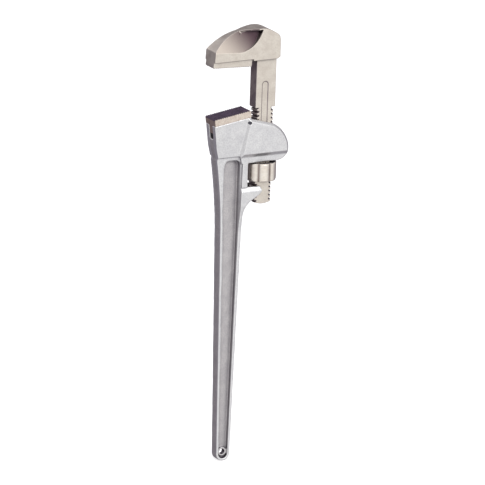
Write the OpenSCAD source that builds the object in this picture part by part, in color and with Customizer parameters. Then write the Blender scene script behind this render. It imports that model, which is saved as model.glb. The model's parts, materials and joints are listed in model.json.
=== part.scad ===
// Pipe wrench of the straight, 24 inch class: a cast aluminium handle and housing with forged steel jaws.
// The wrench stands upright, handle down. X runs to the rear, where the hook jaw's shank is, so the
// mouth opens to -X. Z runs up the handle, and Y across its thickness.
// The origin is the centre of the hang hole. The hook jaw's shank runs parallel to the handle.

/* [Handle] */
// Height of the nut's top face above the hang hole
handle_l = 427.3; // [330:5:560]
// Width of the beam at the hang hole
beam_w_end = 21.4; // [17:0.5:26]
// Width of the beam where the head begins to flare
beam_w_top = 34; // [28:0.5:41]
// Thickness of the beam at the hang hole
beam_t_end = 15; // [12:0.5:18]
// Thickness of the beam under the head
beam_t_top = 20.8; // [17:0.2:24]
// Thickness of the web between the two flanges
web_t = 3.6; // [3:0.2:6]
// Width of a flange at the hang hole
flange_w_end = 3.5; // [2.8:0.1:5]
// Width of a flange under the head
flange_w_top = 4.6; // [3.6:0.1:6]
// Diameter of the hang hole
hang_d = 8; // [6:0.5:10]
// Diameter of the boss around the hang hole
hang_boss_d = 13.2; // [11.5:0.2:14]
// Thickness of the boss around the hang hole
hang_boss_t = 9; // [6:0.5:13]

/* [Head] */
// Distance from the handle's centre line to the shank's axis
shank_x = 50; // [46:1:62]
// Thickness of the housing around the shank
housing_t = 36; // [31:0.5:44]
// Thickness of the frame beside the nut and of the spur
frame_t = 29; // [26:0.5:35]
// Thickness of the pad under the heel jaw
pad_t = 28; // [25:0.5:34]
// Metal behind the shank at the housing's widest level
rear_wall = 19.8; // [15:0.2:24]
// Height of the opening that the nut turns in
window_h = 35.8; // [34:0.2:46]
// Room in front of the shank for rocking and for the leaf spring
rock_front = 4.7; // [4.2:0.1:6]
// Room behind the shank for rocking
rock_rear = 1.6; // [1.4:0.1:2.5]
// Room on each side of the shank
side_clear = 0.35; // [0.2:0.05:0.6]

/* [Hook jaw] */
// Width of the shank, front to rear
shank_w = 32; // [26:0.5:39]
// Thickness of the shank
shank_t = 18.4; // [15:0.2:22]
// Level of the hook's biting edge band above the nut's top face
hook_up = 143.2; // [125:1:172]
// Reach of the hook in front of the shank's axis
hook_reach = 88.8; // [80:0.5:98]
// Thickness of the hook's head
head_t = 29.4; // [26:0.2:36]
// Height of the hook's head above its crease
head_h = 44.4; // [40:0.2:50]
// Lean of the hollow's floor in the side of the head, in degrees
scoop_lean = 18.8; // [14:0.2:22]
// Thickness of the toothed band under the head
bite_t = 24; // [20:0.2:26]
// Height of the toothed band at the hook's tip
bite_h = 9.2; // [7.5:0.1:11.5]
// Length of shank below the nut's top face
tail_l = 62; // [50:1:72]
// Level of the thread's upper end above the nut's top face
thread_up = 84; // [78:1:90]
// Pitch of the thread
thread_pitch = 6; // [5:0.1:7.2]
// Depth of the thread
thread_depth = 2.5; // [2:0.1:3]
// Width of the thread's groove at its mouth
groove_mouth = 3; // [2.5:0.1:3.4]
// Width of the thread's groove at its floor
groove_floor = 2.2; // [1.9:0.1:2.5]

/* [Heel jaw] */
// Length of the heel jaw along its teeth
heel_l = 59.6; // [50:0.2:60.5]
// Thickness of the heel jaw
heel_t = 29.8; // [25:0.2:36]
// Height of the heel jaw to the roots of its teeth
heel_h = 8.9; // [7.4:0.1:11]
// Slope of the heel jaw's seat
heel_slope = 8.7; // [7.5:0.1:10]
// Width of the tongue under the heel jaw
tongue_w = 9.8; // [8:0.2:12]
// Height of the tongue
tongue_h = 12.8; // [11:0.2:15]
// Diameter of the heel jaw's cross pin
pin_d = 4.5; // [3.8:0.1:5.4]
// Pitch of the teeth on both jaws
tooth_pitch = 3.45; // [2.9:0.05:4.2]
// Height of the teeth on both jaws
tooth_h = 1.7; // [1.2:0.1:1.9]

/* [Nut] */
// Wall of the nut outside the thread
nut_wall = 7.5; // [6:0.1:9]
// Height of the nut
nut_h = 27; // [23:0.5:32]
// Room between the nut and the wall in front of it
nut_room = 4.5; // [3.8:0.1:6.5]
// Gap between the nut and the housing above it
nut_gap = 1.5; // [1.5:0.1:2.4]
// Number of lobes around the nut
nut_lobes = 8; // [6:1:12]
// Play between the nut's thread and the shank's
thread_play = 0.3; // [0.2:0.05:0.4]

/* [Springs] */
// Length of the leaf spring
leaf_l = 40; // [34:1:46]
// Width of the leaf spring
leaf_w = 15; // [12:0.5:16]
// Thickness of the leaf spring
leaf_t = 1.2; // [1:0.1:1.4]
// Gap between the leaf spring and the shank
leaf_gap = 0.4; // [0.3:0.05:0.6]
// Outer diameter of the coil spring
coil_d = 11.4; // [9.5:0.2:13.6]
// Diameter of the coil spring's wire
coil_wire = 1.4; // [1.1:0.1:1.7]
// Length of the coil spring
coil_l = 18; // [15:0.5:21]
// Number of turns in the coil spring
coil_turns = 5.5; // [4:0.5:6.5]

/* [Hidden] */
$fn = 64;
over = 1;
far = 200;

// Levels and places that several pieces share
nut_z = handle_l;
housing_z = nut_z + nut_gap;
thread_r = shank_w / 2 - 0.1;
root_r = thread_r - thread_depth;
nut_r = thread_r + nut_wall;
shank_front = shank_x - shank_w / 2;
shank_rear = shank_x + shank_w / 2;
slot_front = shank_front - rock_front;
slot_rear = shank_rear + rock_rear;
slot_t = shank_t + 2 * side_clear;
rear_x = slot_rear + rear_wall;
spur_z = housing_z - window_h;
wall_x = shank_x - nut_r - nut_room;
wall_w = 8.3;

// Beam
end_r = beam_w_end / 2;
end_drop = 2.3;
flare_z = nut_z - 97;
beam_half_top = beam_w_top / 2;
pad_z = nut_z + 12.5;
recess_top = nut_z + 6.7;
pad_swell = [-30, nut_z + 28];

// Heel jaw's seat: its front lower corner
seat = [-34, nut_z + 60.7];
tongue_play = 0.15;
pin_play = 0.02;
pin_at = [heel_l - 4.1, -7.5];

// Springs
leaf_x = shank_front - leaf_gap - leaf_t;
leaf_z = housing_z + 5.2;
leaf_foot = 4.8;
coil_z = nut_z + 30.7;
coil_room = 0.7;
rivet_head = coil_d - 2 * coil_wire - 0.3;

// ---------- helpers ----------

// Points of a cubic curve, both ends included
function curve(a, b, c, d, n = 12) = [
  for (i = [0 : n])
    let (t = i / n, s = 1 - t)
    s * s * s * a + 3 * s * s * t * b + 3 * s * t * t * c + t * t * t * d
];

// Extrudes an outline drawn in X and Z to a thickness centred on Y = 0
module across(thickness) {
  rotate([90, 0, 0])
    linear_extrude(height = thickness, center = true)
      children();
}

// Extrudes an outline drawn in Y and Z along X
module along(length) {
  rotate([90, 0, 90])
    linear_extrude(height = length, center = true)
      children();
}

// Mirrors the children to the other side of the Y = 0 plane as well
module both_sides() {
  children();
  mirror([0, 1, 0])
    children();
}

// Symmetric outline from [level, full thickness] pairs, for along()
module thickness_by_level(rows) {
  n = len(rows);
  right = [for (r = rows) [r[1] / 2, r[0]]];
  left = [for (i = [n - 1 : -1 : 0]) [-rows[i][1] / 2, rows[i][0]]];
  polygon(concat(right, left));
}

// Rounded rectangle with square rear corners
module front_rounded(length, width, radius) {
  translate([radius, -width / 2])
    square([length - radius, width]);
  translate([0, -width / 2 + radius])
    square([radius + over, width - 2 * radius]);
  for (side = [-1, 1])
    translate([radius, side * (width / 2 - radius)])
      circle(radius);
}

// Places the children in the heel jaw's frame: x along the seat, z out of it
module on_seat() {
  translate([seat[0], 0, seat[1]])
    rotate([0, -heel_slope, 0])
      children();
}

// ---------- handle ----------

// Front edge of the flare from the beam to the pad
function front_flare() = curve(
  [-beam_half_top, flare_z], [-18.3, nut_z - 52], [-22.5, nut_z - 15], pad_swell
);

module beam() {
  intersection() {
    union() {
      across(far)
        beam_flared();
      across(far)
        beam_end();
    }
    along(far)
      thickness_by_level([
        [-2 * end_r, beam_t_end - 0.2], [0, beam_t_end],
        [flare_z, beam_t_top - 1.8], [pad_z + 3 * over, beam_t_top]
      ]);
  }
}

module beam_end() {
  translate([0, -end_drop])
    circle(end_r);
  translate([-end_r, -end_drop])
    square([2 * end_r, end_drop + over]);
}

// The flare's last piece lies inside the pad
module beam_flared() {
  flare = front_flare();
  last = len(flare) - 1;
  inside = 4.5;
  polygon(concat(
    [[end_r, 0], [beam_half_top, flare_z], [beam_half_top, pad_z + 2 * over]],
    [[pad_swell[0] + inside, pad_z + 2 * over]],
    [for (i = [last - 2 : -1 : 0]) flare[i]],
    [[-end_r, 0]]
  ));
}

// Hollow between the flanges, on both sides of the web
module recess_outline() {
  left_end = -end_r + flange_w_end;
  left_top = -beam_half_top + flange_w_top - 0.6;
  right_top = beam_half_top - flange_w_top - 0.7;
  front = -14.7;
  bend = [front, recess_top - 15.7];
  polygon(concat(
    [[left_end, -end_drop], [left_top, flare_z], [front, nut_z - 58], bend - [0, 4]],
    curve(bend, [front + 0.5, recess_top - 4], [front + 2.7, recess_top], [front + 8.7, recess_top], 8),
    curve([3, recess_top], [8, recess_top], [right_top, recess_top - 4], [right_top, nut_z], 8),
    [[right_top, flare_z], [-left_end, -end_drop]]
  ));
  translate([0, -end_drop])
    circle(-left_end);
}

module recesses() {
  both_sides()
    translate([0, -far / 2 - web_t / 2, 0])
      across(far)
        recess_outline();
}

// Block that carries the heel jaw
module pad() {
  rear = seat + heel_l * [cos(heel_slope), sin(heel_slope)];
  foot = [-26.4, pad_z];
  chin = [-31.6, nut_z + 41.6];
  draft = 2.4;
  intersection() {
    across(far)
      polygon([foot, pad_swell, chin, seat, rear, [shank_x - 20, nut_z + 20], [shank_x - 35, pad_z]]);
    along(far)
      thickness_by_level([[pad_z - over, pad_t - draft], [chin[1] + 3.4, pad_t], [rear[1] + over, pad_t]]);
  }
}

// Housing around the shank: raised faces with a bevel all round, above a plain skirt
module housing_outline() {
  toe = [shank_x - 38.3, housing_z];
  waist = [shank_x - 39.6, nut_z + 8];
  brow = [shank_x - 29.6, nut_z + 68.5];
  crest = [shank_x + 8, nut_z + 57.9];
  back = [rear_x, nut_z + 18.7];
  polygon(concat(
    [toe, waist, [shank_x - 41.5, pad_z], brow],
    curve(crest, crest + [15, -4.2], back + [0, 17], back),
    curve(back, back - [0, 10], [rear_x - 6.4, housing_z], [rear_x - 19, housing_z])
  ));
}

module housing_above(level) {
  intersection() {
    children();
    translate([-far / 2, level])
      square([2 * far, far]);
  }
}

module housing() {
  bevel = 3.6;
  skirt = 9;
  edge_t = pad_t + 0.4;
  across(edge_t)
    housing_outline();
  hull() {
    across(edge_t)
      housing_above(housing_z + skirt)
        housing_outline();
    across(housing_t)
      housing_above(housing_z + skirt + 1.5 * bevel)
        offset(delta = -bevel)
          housing_outline();
  }
}

// Wall in front of the nut, and the forked spur that guides the shank below it
module spur_outline() {
  tip = shank_x - 3.2;
  root = [beam_half_top - 0.1, spur_z - 41];
  polygon(concat(
    [[wall_x - wall_w, pad_z], [wall_x, pad_z], [wall_x, spur_z + 4]],
    curve([wall_x, spur_z + 4], [wall_x, spur_z + 1.5], [wall_x + 1.5, spur_z], [wall_x + 4, spur_z], 5),
    [[tip - 2.7, spur_z], [tip, spur_z - 5.6]],
    curve([tip - 0.8, spur_z - 8.4], [shank_x - 12, spur_z - 19],
          [shank_x - 30.5, spur_z - 19], root),
    [[root[0], flare_z - 4], [beam_half_top - flange_w_top, flare_z - 4]],
    [[beam_half_top - flange_w_top - 0.7, flare_z]]
  ));
}

module frame_and_spur() {
  bevel_h = 6.5;
  bevel_t = 3.2;
  intersection() {
    across(far)
      spur_outline();
    union() {
      along(far)
        thickness_by_level([
          [flare_z - 5, beam_t_top - 2.6], [spur_z - 28, frame_t],
          [spur_z - bevel_h, frame_t], [spur_z + over, frame_t - 2 * bevel_t]
        ]);
      translate([wall_x - 20, -frame_t / 2, spur_z])
        cube([20, frame_t, far]);
    }
  }
}

// Passage for the shank through the housing and the fork of the spur
module shank_passage() {
  translate([slot_front, -slot_t / 2, housing_z - over])
    cube([slot_rear - slot_front, slot_t, far]);
  translate([slot_front - 2.3, -slot_t / 2, flare_z])
    cube([far, slot_t, housing_z - flare_z]);
  // Notch for the leaf spring's foot
  foot_play = 0.4;
  notch_h = 5.6;
  translate([slot_front - 2.9, -leaf_w / 2 - foot_play, leaf_z - 2])
    cube([rock_front, leaf_w + 2 * foot_play, notch_h]);
}

// Slot for the tongue, with a clear pocket under it that shows at the front
module tongue_slot() {
  slot_w = tongue_w + 2 * tongue_play;
  pocket_h = 8.4;
  pocket_l = 15;
  on_seat() {
    translate([-far, -slot_w / 2, -tongue_h - tongue_play])
      cube([far + heel_l - 0.1, slot_w, tongue_h + far]);
    translate([-far, -slot_w / 2, -tongue_h - pocket_h])
      cube([far + pocket_l, slot_w, pocket_h + over]);
  }
}

// Clears the casting above the heel jaw's seat, with a little room behind the jaw
module above_seat() {
  end_play = 0.3;
  on_seat()
    translate([-far / 2, -far / 2, 0])
      cube([far / 2 + heel_l + end_play, far, far]);
}

module handle() {
  color("silver")
    difference() {
      union() {
        difference() {
          beam();
          recesses();
        }
        across(hang_boss_t)
          circle(d = hang_boss_d);
        pad();
        housing();
        frame_and_spur();
      }
      shank_passage();
      tongue_slot();
      above_seat();
      rotate([90, 0, 0])
        cylinder(d = hang_d, h = far, center = true);
      on_seat()
        translate([pin_at[0], 0, pin_at[1]])
          rotate([90, 0, 0])
            cylinder(d = pin_d + 2 * pin_play, h = far, center = true);
      translate([leaf_x - coil_l, 0, coil_z])
        rotate([0, 90, 0])
          cylinder(d = coil_d + 2 * coil_room, h = coil_l);
    }
}

// ---------- heel jaw ----------

// Saw-tooth points from x = 0 to x = length, with roots at level 0 and tips at the given height
function saw(length, pitch, height) =
  let (n = round(length / pitch), step = length / n)
  [for (i = [0 : n - 1]) each [[i * step, 0], [(i + 0.62) * step, height]]];

module heel_jaw() {
  color("rosybrown")
    on_seat()
      difference() {
        union() {
          intersection() {
            linear_extrude(height = far)
              front_rounded(heel_l, heel_t, 2);
            across(far)
              polygon(concat(
                [[heel_l, 0], [0, 0]],
                [for (p = saw(heel_l, tooth_pitch, tooth_h)) [p[0], p[1] + heel_h]],
                [[heel_l, heel_h]]
              ));
          }
          translate([0.6, -tongue_w / 2, -tongue_h])
            cube([heel_l - 0.9, tongue_w, tongue_h + over]);
        }
        translate([pin_at[0], 0, pin_at[1]])
          rotate([90, 0, 0])
            cylinder(d = pin_d + 2 * pin_play, h = far, center = true);
      }
}

module heel_jaw_pin() {
  color("dimgray")
    on_seat()
      translate([pin_at[0], 0, pin_at[1]])
        rotate([90, 0, 0])
          cylinder(d = pin_d, h = housing_t - 4, center = true);
}

// ---------- hook jaw ----------

// Start of thread ridge n at angle zero; the groove's middle is half a pitch above it
thread_from = nut_z - tail_l - thread_pitch;
ridge_from = thread_from + 4;
ridges = floor((nut_z + thread_up - ridge_from) / thread_pitch);
// The full section begins a groove's width above the last ridge at the front edge
thread_to = ridge_from + (ridges - 0.4) * thread_pitch + groove_mouth;
flat_spare = 0.6;
ridge_mouth = thread_pitch - groove_mouth;
ridge_floor = thread_pitch - groove_floor;

// Rows of the threaded length: [radius, level at angle zero, follows the helix]
thread_rows = concat(
  [[root_r, thread_from, 0]],
  [for (n = [0 : ridges - 1]) each [
    [root_r, ridge_from + n * thread_pitch - ridge_floor / 2, 1],
    [thread_r, ridge_from + n * thread_pitch - ridge_mouth / 2, 1],
    [thread_r, ridge_from + n * thread_pitch + ridge_mouth / 2, 1],
    [root_r, ridge_from + n * thread_pitch + ridge_floor / 2, 1]
  ]],
  [[root_r, thread_to + 3, 0]]
);

// A point of the threaded length: side 1 is the rear edge and -1 the front edge
function thread_point(side, row, y) =
  let (
    lift = asin(y / row[0]),
    angle = side > 0 ? lift : 180 - lift
  )
  [side * sqrt(row[0] * row[0] - y * y), y, row[1] + row[2] * thread_pitch * angle / 360];

// Round threaded bar, as one closed surface a little thicker than the shank's flats
module threaded_length() {
  cols = 4;
  n = len(thread_rows);
  w = cols + 1;
  ys = [for (c = [0 : cols]) (shank_t / 2 + flat_spare) * (2 * c / cols - 1)];
  points = [for (side = [1, -1]) each [for (row = thread_rows) each
    [for (y = ys) thread_point(side, row, y)]
  ]];
  half = n * w;
  rear = [for (r = [0 : n - 2]) each [for (c = [0 : cols - 1])
    let (a = r * w + c) each [[a, a + w, a + w + 1], [a, a + w + 1, a + 1]]
  ]];
  front = [for (r = [0 : n - 2]) each [for (c = [0 : cols - 1])
    let (a = half + r * w + c) each [[a, a + 1, a + w + 1], [a, a + w + 1, a + w]]
  ]];
  far_flat = [for (r = [0 : n - 2])
    let (a = r * w + cols, b = half + r * w + cols) each [[a, a + w, b + w], [a, b + w, b]]
  ];
  near_flat = [for (r = [0 : n - 2])
    let (a = half + r * w, b = r * w) each [[a, a + w, b + w], [a, b + w, b]]
  ];
  foot = concat([for (c = [0 : cols]) c], [for (c = [cols : -1 : 0]) half + c]);
  last = (n - 1) * w;
  crown = concat([for (c = [0 : cols]) half + last + c], [for (c = [cols : -1 : 0]) last + c]);
  polyhedron(points = points, faces = concat(rear, front, far_flat, near_flat, [foot, crown]), convexity = 10);
}

// Level of the crease between the hook's head and its toothed band
bite_rise = 2.6;
hook_z = nut_z + hook_up + bite_h + bite_rise;

// Side view of the hook's head
module head_outline() {
  front = shank_x - hook_reach + 0.9;
  brow = [front + 1, hook_z + 15.5];
  crown = [shank_x - 12, hook_z + head_h];
  nape = [shank_x + shank_w / 2 - 4, crown[1] - 8.2];
  rear = [shank_x + shank_w / 2 + 3, crown[1] - 17.4];
  nook = [shank_x - 24.4, hook_z - 2.4];
  polygon(concat(
    [[front, hook_z]],
    curve(brow, brow + [17.9, 21.5], crown + [-36, 0.8], crown),
    curve(crown, crown + [10, 0.2], nape + [-8, 4.6], nape, 6),
    curve(nape, nape + [4, -2.2], rear + [-0.4, 4], rear, 4),
    [[rear[0] + 0.2, hook_z + 0.4], [rear[0] - 3.4, nook[1]], nook, [nook[0], hook_z]]
  ));
}

// Hollow in the side of the head: it runs out over the brow, and ends under a thin crown
module scoop_outline() {
  heel = [shank_x - 56, hook_z + 11];
  top = [shank_x - 10.2, hook_z + head_h - 2];
  outside = shank_x - hook_reach - 10;
  polygon(concat(
    [[outside, hook_z], [heel[0] - 6, hook_z]],
    curve(heel, heel + [28, 0], top + [-5.8, -16.4], top),
    [[shank_x - 43, top[1] - 1.7], [shank_x - 52, top[1] + 6], [outside, top[1] + 6]]
  ));
}

// Plan of the slanting end of the thin crown over the hollow
module crown_end() {
  side = -head_t / 2;
  polygon([
    [shank_x - 16, side - over], [shank_x - 16, side],
    [shank_x - 44, side + 9.9], [shank_x - 49, side - over]
  ]);
}

// The hollow's floor leans, so that it is deepest under the crown
module scoops() {
  both_sides() {
    intersection() {
      across(far)
        scoop_outline();
      translate([shank_x - 48, -head_t / 2, hook_z + 11.6])
        rotate([-scoop_lean, 3.7, 0])
          translate([-far / 2, -far, -far / 2])
            cube([far, far, far]);
    }
    translate([0, 0, hook_z + head_h - 8])
      linear_extrude(height = far)
        crown_end();
  }
}

module bite_outline() {
  tip = shank_x - hook_reach;
  length = hook_reach - 26.2;
  rise = bite_rise / length;
  polygon(concat(
    [[tip + 0.9, hook_z + over], [tip, hook_z - bite_h + tooth_h]],
    [for (p = saw(length, tooth_pitch, tooth_h))
      [tip + p[0], hook_z - bite_h + tooth_h - p[1] - p[0] * rise]],
    [[tip + length, hook_z - bite_h + tooth_h - bite_rise], [tip + length + 1.2, hook_z + over]]
  ));
}

// Shallow groove along each side of the shank
module side_groove() {
  groove_w = 10;
  depth = 0.8;
  top = nut_z + 114.4;
  bottom = nut_z - 20;
  both_sides()
    translate([shank_x - 1.2, -shank_t / 2 - over, 0])
      rotate([-90, 0, 0])
        linear_extrude(height = depth + over) {
          translate([-groove_w / 2, -top])
            square([groove_w, top - bottom]);
          translate([0, -top])
            circle(d = groove_w);
          translate([0, -bottom])
            circle(d = groove_w);
        }
}

// Everything below the arc that ends the tail
module below_tail() {
  tail_r = 34;
  side = 40;
  swing = asin(0.7);
  arc = [for (i = [-6 : 6]) let (a = i * swing / 6)
    [shank_x + tail_r * sin(a), nut_z - tail_l + tail_r - tail_r * cos(a)]];
  across(far)
    polygon(concat(
      [[shank_x - side, thread_from - over], [shank_x - side, arc[0][1]]],
      arc,
      [[shank_x + side, arc[0][1]], [shank_x + side, thread_from - over]]
    ));
}

// Slab that cuts the shank's two flats, with their grooves and the tail's end
module shank_slab() {
  difference() {
    translate([shank_x - shank_w, -shank_t / 2, thread_from - over])
      cube([2 * shank_w, shank_t, hook_z - thread_from + 2 * over]);
    side_groove();
    below_tail();
  }
}

module shank() {
  intersection() {
    union() {
      translate([shank_front, -shank_t / 2 - over, thread_to])
        cube([shank_w, shank_t + 2 * over, hook_z - thread_to + over]);
      translate([shank_x, 0, 0])
        threaded_length();
    }
    shank_slab();
  }
}

module hook_jaw() {
  color("wheat")
    difference() {
      union() {
        across(head_t)
          head_outline();
        across(bite_t)
          bite_outline();
        shank();
      }
      scoops();
    }
}

// ---------- nut ----------

module nut_body() {
  lobe_r = 0.48 * nut_r;
  lobe_turn = 0.72;
  chamfer = 1.5;
  intersection() {
    linear_extrude(height = nut_h)
      union() {
        circle(nut_r - lobe_r + 4);
        for (i = [0 : nut_lobes - 1])
          rotate((i + lobe_turn) * 360 / nut_lobes)
            translate([nut_r - lobe_r, 0])
              circle(lobe_r);
      }
    rotate_extrude($fn = 96)
      polygon([
        [0, 0], [nut_r - chamfer, 0], [nut_r + 0.01, chamfer],
        [nut_r + 0.01, nut_h - chamfer], [nut_r - chamfer, nut_h], [0, nut_h]
      ]);
  }
}

// Thread ridge inside the nut, in the middle of the shank's groove all round
module nut_thread() {
  steps = 24;
  inner_w = groove_floor - 2 * thread_play;
  outer_w = groove_mouth - 2 * thread_play;
  inner_r = root_r + thread_play + 0.1;
  outer_r = thread_r + 0.9;
  low = nut_z - nut_h + outer_w / 2 + 0.5;
  turns_low = ceil((low - ridge_from) / thread_pitch - 0.5);
  start = ridge_from + (turns_low + 0.5) * thread_pitch;
  count = floor((nut_z - outer_w / 2 - 0.5 - start) / thread_pitch * steps);
  section = [
    [inner_r, -inner_w / 2], [inner_r, inner_w / 2], [outer_r, outer_w / 2], [outer_r, -outer_w / 2]
  ];
  points = [for (i = [0 : count]) each
    let (a = 360 * i / steps, z = start + thread_pitch * i / steps)
    [for (p = section) [p[0] * cos(a), p[0] * sin(a), z + p[1]]]
  ];
  sides = [for (i = [0 : count - 1]) each [for (k = [0 : 3])
    let (a = 4 * i + k, b = 4 * i + (k + 1) % 4)
    each [[a, a + 4, b + 4], [a, b + 4, b]]
  ]];
  end = 4 * count;
  polyhedron(
    points = points,
    faces = concat(sides, [[0, 1, 2, 3], [end + 3, end + 2, end + 1, end]]),
    convexity = 10
  );
}

module adjusting_nut() {
  bore_r = thread_r + 0.4;
  lead_in = 1.2;
  color("tan")
    translate([shank_x, 0, 0]) {
      difference() {
        translate([0, 0, nut_z - nut_h])
          nut_body();
        cylinder(r = bore_r, h = 3 * far);
        translate([0, 0, nut_z - nut_h - 0.01])
          cylinder(r1 = bore_r + lead_in, r2 = bore_r, h = lead_in);
        translate([0, 0, nut_z - lead_in + 0.01])
          cylinder(r1 = bore_r, r2 = bore_r + lead_in, h = lead_in);
      }
      nut_thread();
    }
}

// ---------- springs ----------

module flat_spring() {
  color("slategray")
    difference() {
      union() {
        translate([leaf_x, -leaf_w / 2, leaf_z])
          cube([leaf_t, leaf_w, leaf_l]);
        translate([leaf_x - leaf_foot, -leaf_w / 2, leaf_z])
          cube([leaf_foot + leaf_t, leaf_w, leaf_t]);
      }
      translate([leaf_x - over, 0, coil_z])
        rotate([0, 90, 0])
          cylinder(d = 3.04, h = leaf_t + 2 * over);
    }
}

// Rivet with a tall head that the end of the coil spring grips
module spring_rivet() {
  grip_h = 2.6;
  color("gray")
    translate([leaf_x, 0, coil_z])
      rotate([0, 90, 0]) {
        translate([0, 0, -grip_h - 0.02])
          cylinder(d = rivet_head, h = grip_h);
        translate([0, 0, -0.5])
          cylinder(d = 3, h = leaf_t + 0.5);
      }
}

module coil_spring() {
  steps = 16;
  wire_sides = 8;
  r = (coil_d - coil_wire) / 2;
  count = coil_turns * steps;
  travel = coil_l - coil_wire - 0.3;
  color("slategray")
    translate([leaf_x - coil_l + 0.15 + coil_wire / 2, 0, coil_z])
      polyhedron(
        points = [for (i = [0 : count]) each
          let (a = 360 * i / steps, x = travel * i / count)
          [for (k = [0 : wire_sides - 1])
            let (b = 360 * k / wire_sides, wire_r = r + coil_wire / 2 * cos(b))
            [x + coil_wire / 2 * sin(b), wire_r * cos(a), wire_r * sin(a)]]
        ],
        faces = concat(
          [for (i = [0 : count - 1]) each [for (k = [0 : wire_sides - 1])
            let (a = wire_sides * i + k, b = wire_sides * i + (k + 1) % wire_sides)
            each [[a, b, b + wire_sides], [a, b + wire_sides, a + wire_sides]]
          ]],
          [[for (k = [wire_sides - 1 : -1 : 0]) k]],
          [[for (k = [0 : wire_sides - 1]) wire_sides * count + k]]
        ),
        convexity = 10
      );
}

handle();
heel_jaw();
heel_jaw_pin();
hook_jaw();
adjusting_nut();
flat_spring();
coil_spring();
spring_rivet();
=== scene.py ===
# %% [markdown]
# A pipe wrench, dressed in Blender.
#
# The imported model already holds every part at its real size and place. This lesson gives the
# parts the rounded edges of castings and forgings and the finishes of real metal. It never
# moves a part, so whatever the mechanism does in the simulation, the looks do as well.

# %% Load the frame
import json
from math import cos, radians, sin

import bpy
from mathutils import Matrix, Vector


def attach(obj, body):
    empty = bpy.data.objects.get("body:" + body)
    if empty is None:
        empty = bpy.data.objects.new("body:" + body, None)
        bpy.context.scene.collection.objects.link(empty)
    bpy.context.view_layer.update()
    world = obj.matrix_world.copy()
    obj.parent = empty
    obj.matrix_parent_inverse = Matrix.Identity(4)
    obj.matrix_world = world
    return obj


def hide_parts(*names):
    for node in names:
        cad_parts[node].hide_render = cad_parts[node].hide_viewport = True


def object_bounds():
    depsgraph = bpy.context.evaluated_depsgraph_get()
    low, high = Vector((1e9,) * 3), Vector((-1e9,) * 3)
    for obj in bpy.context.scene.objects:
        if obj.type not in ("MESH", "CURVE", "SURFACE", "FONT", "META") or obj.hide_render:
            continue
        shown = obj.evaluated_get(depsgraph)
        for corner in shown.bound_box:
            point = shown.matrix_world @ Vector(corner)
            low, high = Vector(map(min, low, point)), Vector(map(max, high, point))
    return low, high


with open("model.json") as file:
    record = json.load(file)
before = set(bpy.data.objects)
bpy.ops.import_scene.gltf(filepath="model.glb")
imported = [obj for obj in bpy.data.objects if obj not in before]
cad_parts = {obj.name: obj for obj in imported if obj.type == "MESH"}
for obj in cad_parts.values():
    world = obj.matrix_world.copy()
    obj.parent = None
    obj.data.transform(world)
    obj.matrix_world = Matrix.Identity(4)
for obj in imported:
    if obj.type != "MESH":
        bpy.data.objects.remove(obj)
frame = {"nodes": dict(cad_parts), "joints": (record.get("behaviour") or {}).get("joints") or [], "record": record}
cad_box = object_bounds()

MM = 0.001


def in_mm(box):
    return [[round(value / MM, 1) for value in corner] for corner in box]


print("packed model's box, in millimetres:", in_mm(cad_box))

# %% [markdown]
# The camera. The wrench stands upright, and we look at its left side from a little in front
# and above. A short lens close by would spread the long edges of the handle apart. So the
# camera stands far away with a long lens, as for a tool catalogue, and they stay parallel.
# The small roll leans the wrench as a tool leans when it hangs on a nail. The place that we
# look at is counted from the rocking joint, so the view follows the model's own sizes.

# %% Camera
hinge = frame["joints"][0]["pos_m"]
shank_x = hinge[0]
nut_top = hinge[2]

azimuth = radians(29.4)
elevation = radians(15.0)
roll = radians(1.9)
distance = 25.0
far_limit = 60
sensor_width = 36
view_width = 694.5 * MM
shank_middle = 104 * MM
shank_right_of_centre = 21.8 * MM
shank_above_centre = 219.2 * MM

forward = Vector((sin(azimuth) * cos(elevation), cos(azimuth) * cos(elevation), -sin(elevation)))
level_right = Vector((cos(azimuth), -sin(azimuth), 0))
level_up = level_right.cross(forward)
shank = Vector((shank_x, 0, nut_top + shank_middle))
target = shank - shank_right_of_centre * level_right - shank_above_centre * level_up

camera_data = bpy.data.cameras.new("camera")
camera_data.sensor_width = sensor_width
camera_data.lens = sensor_width * distance / view_width
camera_data.clip_end = far_limit
camera = bpy.data.objects.new("camera", camera_data)
bpy.context.scene.collection.objects.link(camera)
right = level_right * cos(roll) + level_up * sin(roll)
up = right.cross(forward)
turn = Matrix((right, up, -forward)).transposed().to_4x4()
camera.matrix_world = Matrix.Translation(target - forward * distance) @ turn
bpy.context.scene.camera = camera
bpy.context.scene.view_settings.view_transform = "Standard"
print("lens:", round(camera_data.lens), "mm")

# %% [markdown]
# Shader maths reads best as maths. Each value below wraps one socket of a node tree. Adding
# or multiplying two values adds the Math node that does it, so a formula stays one line.

# %% Values that do their own node maths
class Value:
    def __init__(self, nodes, socket):
        self.nodes = nodes
        self.socket = socket

    def _math(self, operation, first, second):
        return self.nodes.add("ShaderNodeMath", {"operation": operation}, {0: first, 1: second})

    def __add__(self, other):
        return self._math("ADD", self, other)

    def __radd__(self, other):
        return self._math("ADD", other, self)

    def __sub__(self, other):
        return self._math("SUBTRACT", self, other)

    def __rsub__(self, other):
        return self._math("SUBTRACT", other, self)

    def __mul__(self, other):
        return self._math("MULTIPLY", self, other)

    def __rmul__(self, other):
        return self._math("MULTIPLY", other, self)

    def __abs__(self):
        return self._math("ABSOLUTE", self, 0.0)

    def between(self, low, high):
        """0 up to the value low, 1 from the value high, and smooth in between."""
        return self.nodes.add(
            "ShaderNodeMapRange",
            {"interpolation_type": "SMOOTHSTEP"},
            {"Value": self, "From Min": low, "From Max": high},
        )

    def parts(self):
        """The x, y and z of a vector, as three values."""
        split = self.nodes.add("ShaderNodeSeparateXYZ", {}, {"Vector": self})
        return [Value(self.nodes, socket) for socket in split.socket.node.outputs]


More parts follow.
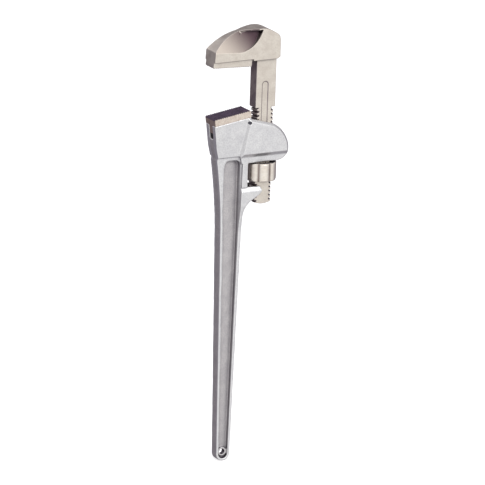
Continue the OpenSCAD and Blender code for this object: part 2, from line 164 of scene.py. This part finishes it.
# %% [markdown]
# Every other node comes from one method, add. It takes the node's type, its settings and what
# goes into its sockets. The settings come first, because some of them change which sockets a
# node has. Colours go through mix, because a Math node would turn them grey.

# %% The node tree of one material, or of the world
class Nodes:
    def __init__(self, tree):
        self.tree = tree
        tree.nodes.clear()

    def add(self, kind, settings=None, sockets=None, out=0):
        node = self.tree.nodes.new(kind)
        for name, setting in (settings or {}).items():
            setattr(node, name, setting)
        for name, given in (sockets or {}).items():
            if isinstance(given, Value):
                self.tree.links.new(given.socket, node.inputs[name])
            else:
                node.inputs[name].default_value = given
        return Value(self, node.outputs[out]) if node.outputs else None

    def mix(self, share, first, second):
        """A colour that goes from first to second as share goes from 0 to 1."""
        first, second = [c if isinstance(c, Value) else (*c, 1) for c in (first, second)]
        return self.add(
            "ShaderNodeMix", {"data_type": "RGBA"}, {0: share, 6: first, 7: second}, out=2
        )

    def noise(self, place, size, detail=4.0, rough=0.55):
        """Smooth random values about 0.5, with lumps of that size in metres."""
        return self.add(
            "ShaderNodeTexNoise",
            {},
            {"Vector": place, "Scale": 1 / size, "Detail": detail, "Roughness": rough},
        )


# %% [markdown]
# A studio for shiny things. Bare metal has almost no colour of its own: it shows its
# surroundings. White all round would make every face of the wrench the same white. So the sky
# is a soft gradient instead, bright on the side that the wrench's flats face and dim behind
# it. The faces that look forward or back turn darker by themselves, and the shape shows. The
# camera sees plain white where it looks past the wrench.

# %% Sky
bright_side = Vector((-0.06, -0.93, 0.34)).normalized()
dim_sky = (0.27, 0.25, 0.285)
bright_sky = (1.0, 0.995, 0.98)

world = bpy.data.worlds.new("studio")
world.use_nodes = True
bpy.context.scene.world = world
sky = Nodes(world.node_tree)
direction = sky.add("ShaderNodeTexCoord", {}, {}, out="Generated")
facing = sky.add(
    "ShaderNodeVectorMath", {"operation": "DOT_PRODUCT"}, {0: direction, 1: bright_side}, out="Value"
)
sky_colour = sky.mix(facing.between(-0.55, 0.85), dim_sky, bright_sky)
seen = sky.add("ShaderNodeLightPath", {}, {}, out="Is Camera Ray")
shown = sky.mix(seen, sky_colour, (1.0, 1.0, 1.0))
background = sky.add("ShaderNodeBackground", {}, {"Color": shown, "Strength": 1.0})
sky.add("ShaderNodeOutputWorld", {}, {"Surface": background})
print("the sky is brightest towards", [round(value, 2) for value in bright_side])

# %% [markdown]
# The floor is one large pale square under the wrench's lowest point. It glows a little, so
# that it stays as white as the sky and no horizon shows. It is left out of the metal's
# reflections, because a white floor would wash out everything that faces down.

# %% Floor
floor_z = cad_box[0][2]
floor_reach = 12.0
turns = ((-1, -1), (1, -1), (1, 1), (-1, 1))
corners = [(x * floor_reach, y * floor_reach, floor_z) for x, y in turns]
floor_mesh = bpy.data.meshes.new("floor")
floor_mesh.from_pydata(corners, [], [(0, 1, 2, 3)])
floor = bpy.data.objects.new("floor", floor_mesh)
bpy.context.scene.collection.objects.link(floor)
floor.visible_glossy = False

floor_paint = bpy.data.materials.new("floor")
floor_paint.use_nodes = True
paint = Nodes(floor_paint.node_tree)
matt_white = {
    "Base Color": (0.95, 0.95, 0.95, 1),
    "Roughness": 0.9,
    "Specular IOR Level": 0.1,
    "Emission Color": (1, 1, 1, 1),
    "Emission Strength": 0.5,
}
matt = paint.add("ShaderNodeBsdfPrincipled", {}, matt_white)
paint.add("ShaderNodeOutputMaterial", {}, {"Surface": matt})
floor_mesh.materials.append(floor_paint)
print("the floor lies at", round(floor_z / MM, 1), "mm")

# %% [markdown]
# Three soft lamps add what the sky can't: a little gloss with a direction. The key lamp stands
# on the side of the camera, a weaker one hangs above, and one behind keeps the far side from
# going dark. Small lamps would leave hard glints. Large ones close by give wide, soft ones.

# %% Lamps
middle = Vector([(low + high) / 2 for low, high in zip(*cad_box)])


def softbox(name, offset, size, power):
    """A square lamp at an offset from the wrench's middle, turned to face it."""
    lamp_data = bpy.data.lights.new(name, "AREA")
    lamp_data.size = size
    lamp_data.energy = power
    lamp = bpy.data.objects.new(name, lamp_data)
    bpy.context.scene.collection.objects.link(lamp)
    lamp.location = middle + Vector(offset)
    lamp.rotation_euler = (-Vector(offset)).to_track_quat("-Z", "Y").to_euler()
    print(name, "lamp:", power, "W")


softbox("key", (0.5, -2.2, 1.3), 0.9, 15)
softbox("top", (0.1, -0.9, 2.3), 1.2, 4)
softbox("back", (-0.8, 2.2, 1.2), 1.2, 9)

# %% [markdown]
# Castings and forgings have no sharp edges. The mould, the trimming and a long tumble with
# stones round every corner a little, and every inner corner keeps a fillet. A bevel modifier
# would need clean edges, which curved cuts through each other don't leave. Remeshing a part
# into small even squares and smoothing them works on any shape: more rounds tumble it for
# longer. Flats stay flat, because smoothing a plane gives the plane back.

# %% Tumbling
def tumbled(name, node, square, rounds):
    """A piece with the CAD node's shape and all its edges rounded, riding on the same body."""
    scratch = bpy.data.objects.new("scratch", frame["nodes"][node].data)
    bpy.context.scene.collection.objects.link(scratch)
    remesh = scratch.modifiers.new("squares", "REMESH")
    remesh.mode = "VOXEL"
    remesh.voxel_size = square
    remesh.use_smooth_shade = True
    smooth = scratch.modifiers.new("stones", "SMOOTH")
    smooth.factor = 0.5
    smooth.iterations = rounds
    made = scratch.evaluated_get(bpy.context.evaluated_depsgraph_get())
    mesh = bpy.data.meshes.new_from_object(made)
    mesh.name = name
    bpy.data.objects.remove(scratch)

    piece = bpy.data.objects.new(name, mesh)
    bpy.context.scene.collection.objects.link(piece)
    bodies = frame["record"]["behaviour"]["bodies"]
    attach(piece, next(body for body, nodes in bodies.items() if node in nodes))
    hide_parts(node)
    print(name, "has", len(mesh.polygons), "faces")
    return piece


# %% [markdown]
# Every finish starts from the same few questions about a point of the metal. How sharp is the
# edge here, where hands and pipes rub it bright and a highlight is painted? How deep in a corner
# is it, where shade is painted? Which way does the face look? Painting such wear and shade by
# hand would fit only one shape. Worked out from the shape itself, it fits every part, and each
# recipe below mixes its colours by it.

# %% What a point of metal knows about itself
def edge(nodes):
    """1 on a sharp outer edge, 0 on flats."""
    # The pale colour mixed in by this is partly edge wear and partly a painted highlight.
    return nodes.add("ShaderNodeNewGeometry", {}, {}, out="Pointiness").between(0.505, 0.56)


def corner(nodes, distance):
    """1 deep inside a corner or groove, 0 where nothing else is within that distance. The recipes paint shade by
    it.
    """
    # Ambient occlusion, which the recipes turn into painted shade.
    open_sky = nodes.add(
        "ShaderNodeAmbientOcclusion",
        {"only_local": True, "samples": 8},
        {"Distance": distance},
        out="AO",
    )
    return 1 - open_sky.between(0.25, 0.95)


def normal_parts(nodes):
    """The x, y and z of the direction that the face looks in."""
    return nodes.add("ShaderNodeNewGeometry", {}, {}, out="Normal").parts()


# %% [markdown]
# All the parts are bare metal, so they share one shader with full Metallic. A recipe only says
# what differs: the colour and the roughness, a height for the bumps and how deep they go.

# %% Metal from a recipe
def metal(name, recipe):
    material = bpy.data.materials.new(name)
    material.use_nodes = True
    nodes = Nodes(material.node_tree)
    place = nodes.add("ShaderNodeTexCoord", {}, {}, out="Object")
    sockets, height, depth = recipe(nodes, place)
    bump = nodes.add("ShaderNodeBump", {}, {"Height": height, "Distance": depth})
    shader = nodes.add("ShaderNodeBsdfPrincipled", {}, {"Metallic": 1.0, **sockets, "Normal": bump})
    nodes.add("ShaderNodeOutputMaterial", {}, {"Surface": shader})
    print(name, "has", len(nodes.tree.nodes), "shader nodes")
    return material


def finish(meshes, material):
    for mesh in meshes:
        mesh.materials.clear()
        mesh.materials.append(material)


# %% [markdown]
# The handle is one aluminium casting: an I-shaped beam, a housing for the hook jaw's shank and
# a pad for the heel jaw. The mould's sand leaves a grainy, faintly brown skin, which stays in
# the hollows. The flanges and the raised faces are ground smoother and catch more light. They
# could be picked out face by face, but the remeshed piece has hundreds of thousands. So the
# recipe asks how far a point lies from the middle plane: the web is close to it, and the
# ground faces are not. The inner corners get painted shade, wide and faint, then narrow and dark.

# %% Handle
casting = tumbled("cast_handle", "handle", 0.75 * MM, 5)


def cast_aluminium(nodes, place):
    ground = abs(place.parts()[1]).between(4.5 * MM, 6 * MM)
    blotch = nodes.noise(place, 16 * MM, 3.0).between(0.3, 0.7)
    sand = nodes.noise(place, 1.6 * MM, 3.0)
    skin = nodes.mix(blotch, (0.57, 0.545, 0.555), (0.68, 0.655, 0.655))
    bright = nodes.mix(blotch, (0.735, 0.735, 0.755), (0.81, 0.81, 0.82))
    colour = nodes.mix(ground, skin, bright)
    grains = sand.between(0.38, 0.62) * (0.50 - 0.18 * ground)
    colour = nodes.mix(grains, colour, (0.44, 0.43, 0.46))
    # Painted highlight, partly edge wear: the sharp edges turn pale.
    colour = nodes.mix(edge(nodes), colour, (0.93, 0.93, 0.935))
    # Painted shade: the inner corners darken, wide and faint, then narrow and dark.
    colour = nodes.mix(corner(nodes, 26 * MM) * 0.6, colour, (0.26, 0.25, 0.29))
    colour = nodes.mix(corner(nodes, 9 * MM) * 0.95, colour, (0.085, 0.07, 0.09))
    roughness = 0.50 - 0.12 * ground + 0.10 * sand
    return {"Base Color": colour, "Roughness": roughness}, (2 - ground) * sand + blotch, 0.16 * MM


finish([casting.data], metal("cast_aluminium", cast_aluminium))

# %% [markdown]
# The hook jaw is forged steel. Its flat sides are ground bright and look warm and creamy. The
# edges of the shank keep the forging's brown-violet skin, and the head's skin is rubbed paler.
# The direction of the face tells skin from ground metal, since only ground faces look straight
# to one side. The hollows in the head look almost that way too, and they get their own
# skin, which turns into painted shade towards the deep end. Painted shade also darkens the inner
# corners and fills the thread's grooves, so these are nearly black.

# %% Hook jaw
hook = tumbled("forged_hook_jaw", "hook_jaw", 0.5 * MM, 3)
hook_top = max(vertex.co.z for vertex in hook.data.vertices)
head_height = 58 * MM
hollow_rise = 0.8
hollow_start = shank_x + hollow_rise * hook_top - 105 * MM
hollow_end = shank_x + hollow_rise * hook_top - 24 * MM


def forged_steel(nodes, place):
    x, _, z = place.parts()
    across = abs(normal_parts(nodes)[1])
    ground = across.between(0.955, 0.985)
    head = z.between(hook_top - head_height, hook_top - head_height + 12 * MM)
    grain = nodes.noise(place, 0.9 * MM, 4.0)
    stain = nodes.noise(place, 13 * MM, 4.0).between(0.32, 0.68)
    shank_skin = nodes.mix(stain, (0.24, 0.195, 0.215), (0.36, 0.305, 0.305))
    head_skin_and_shade = nodes.mix(stain, (0.50, 0.455, 0.415), (0.63, 0.585, 0.535))
    # Painted shade: the hollows darken towards their deep end.
    far_in = (x + hollow_rise * z).between(hollow_start, hollow_end)
    hollow_skin_and_shade = nodes.mix(far_in, (0.54, 0.48, 0.43), (0.085, 0.05, 0.065))
    head_skin_and_shade = nodes.mix(across.between(0.4, 0.7), head_skin_and_shade, hollow_skin_and_shade)
    # The skin carries the hollows' painted shade as well.
    skin = nodes.mix(head, shank_skin, head_skin_and_shade)
    bright = nodes.mix(stain, (0.70, 0.645, 0.58), (0.79, 0.74, 0.67))
    bright = nodes.mix(grain.between(0.36, 0.64) * 0.4, bright, (0.50, 0.44, 0.40))
    colour = nodes.mix(ground, skin, bright)
    # Painted highlight, partly edge wear: the sharp edges turn pale.
    colour = nodes.mix(edge(nodes) * 0.6, colour, (0.94, 0.88, 0.82))
    # Painted shade: wide and faint near walls and under the head, then nearly black in narrow corners and the
    # thread's grooves.
    colour = nodes.mix(corner(nodes, 34 * MM) * 0.8, colour, (0.12, 0.085, 0.095))
    colour = nodes.mix(corner(nodes, 7 * MM) * 0.92, colour, (0.03, 0.018, 0.028))
    roughness = 0.50 - 0.10 * ground + 0.12 * grain
    return {"Base Color": colour, "Roughness": roughness}, grain + stain, 0.10 * MM


finish([hook.data], metal("forged_steel", forged_steel))

# %% [markdown]
# The heel jaw is a hardened insert. Hardening the teeth turned them blue-black, while its ground
# sides stayed pale and pinkish. Its squares are small and it is smoothed only once, because
# worn teeth are still sharp. The teeth lie on a slope, so the recipe measures a point's
# height above that slope, and paints it dark unless the face looks straight to the side.

# %% Heel jaw
heel = tumbled("toothed_heel_jaw", "heel_jaw", 0.3 * MM, 1)
tooth_slope = 0.153
tooth_tips = max(vertex.co.z - tooth_slope * vertex.co.x for vertex in heel.data.vertices)


def toothed_steel(nodes, place):
    x, _, z = place.parts()
    height = z - tooth_slope * x
    toothed = height.between(tooth_tips - 2.4 * MM, tooth_tips - 1.7 * MM)
    side = abs(normal_parts(nodes)[1]).between(0.7, 0.9)
    grain = nodes.noise(place, 0.9 * MM, 4.0)
    stain = nodes.noise(place, 7 * MM, 3.0).between(0.3, 0.7)
    pale = nodes.mix(stain, (0.70, 0.60, 0.53), (0.82, 0.74, 0.66))
    brown = nodes.mix(stain, (0.40, 0.31, 0.28), (0.52, 0.42, 0.38))
    blue = nodes.mix(stain, (0.030, 0.018, 0.040), (0.075, 0.048, 0.090))
    colour = nodes.mix(side, nodes.mix(toothed, brown, blue), pale)
    colour = nodes.mix(grain.between(0.4, 0.65) * 0.25, colour, (0.16, 0.12, 0.12))
    return {"Base Color": colour, "Roughness": 0.42 + 0.14 * grain}, grain, 0.08 * MM


finish([heel.data], metal("toothed_steel", toothed_steel))

# %% [markdown]
# The nut is turned bar with lobes milled around it, then polished by years of fingers. The
# lobes shine softly, with fine marks that run around the nut, and the valleys between them
# get painted shade. The distance from the nut's axis tells a lobe from a valley. The marks are noise
# that is squeezed along the axis. The two ends get painted shadow, and the inner corners painted
# shade, so they are nearly black.

# %% Adjusting nut
nut = tumbled("lobed_nut", "adjusting_nut", 0.45 * MM, 3)
nut_radius = max(vertex.co.y for vertex in nut.data.vertices)


def satin_steel(nodes, place):
    squeezed = nodes.add(
        "ShaderNodeVectorMath", {"operation": "MULTIPLY"}, {0: place, 1: (0.12, 0.12, 1.0)}
    )
    marks = nodes.noise(squeezed, 0.6 * MM, 2.0)
    outward = nodes.add(
        "ShaderNodeVectorMath",
        {"operation": "MULTIPLY_ADD"},
        {0: place, 1: (1.0, 1.0, 0.0), 2: (-shank_x, 0.0, 0.0)},
    )
    radius = nodes.add("ShaderNodeVectorMath", {"operation": "LENGTH"}, {0: outward}, out="Value")
    lobe = radius.between(nut_radius - 1.8 * MM, nut_radius - 0.35 * MM)
    shadowed_ends = abs(normal_parts(nodes)[2]).between(0.75, 0.95)
    stain = nodes.noise(place, 8 * MM, 3.0).between(0.3, 0.7)
    # Painted shade in the valleys between the lobes.
    shaded_valley = nodes.mix(stain, (0.12, 0.08, 0.075), (0.20, 0.145, 0.13))
    crest = nodes.mix(stain, (0.86, 0.79, 0.71), (0.96, 0.91, 0.84))
    colour = nodes.mix(lobe, shaded_valley, crest)
    colour = nodes.mix(marks.between(0.4, 0.6) * 0.2, colour, (0.45, 0.39, 0.35))
    # Painted highlight, partly edge wear: the sharp edges turn pale.
    colour = nodes.mix(edge(nodes) * 0.3, colour, (0.92, 0.86, 0.78))
    # Painted shade in the nut's inner corners.
    colour = nodes.mix(corner(nodes, 6 * MM) * 0.95, colour, (0.05, 0.035, 0.04))
    # Painted shadow on the two ends, nearly black.
    colour = nodes.mix(shadowed_ends, colour, (0.055, 0.045, 0.05))
    return {"Base Color": colour, "Roughness": 0.27 + 0.12 * marks}, marks, 0.03 * MM


finish([nut.data], metal("satin_steel", satin_steel))

# %% [markdown]
# The small parts inside the housing keep their exact shapes: the springs are wire and strip,
# the rivet and the pin are turned, and none of them is tumbled. Heating spring steel after it
# is bent colours it a deep blue-grey, a little uneven from end to end, so slow noise between
# two dark blues is enough.

# %% Springs, rivet and pin
def blued_steel(nodes, place):
    heat = nodes.noise(place, 4 * MM, 3.0)
    colour = nodes.mix(heat.between(0.3, 0.7), (0.05, 0.055, 0.085), (0.12, 0.11, 0.13))
    return {"Base Color": colour, "Roughness": 0.30 + 0.12 * heat}, heat, 0.02 * MM


small_parts = ("heel_jaw_pin", "flat_spring", "coil_spring", "spring_rivet")
finish([frame["nodes"][node].data for node in small_parts], metal("blued_steel", blued_steel))
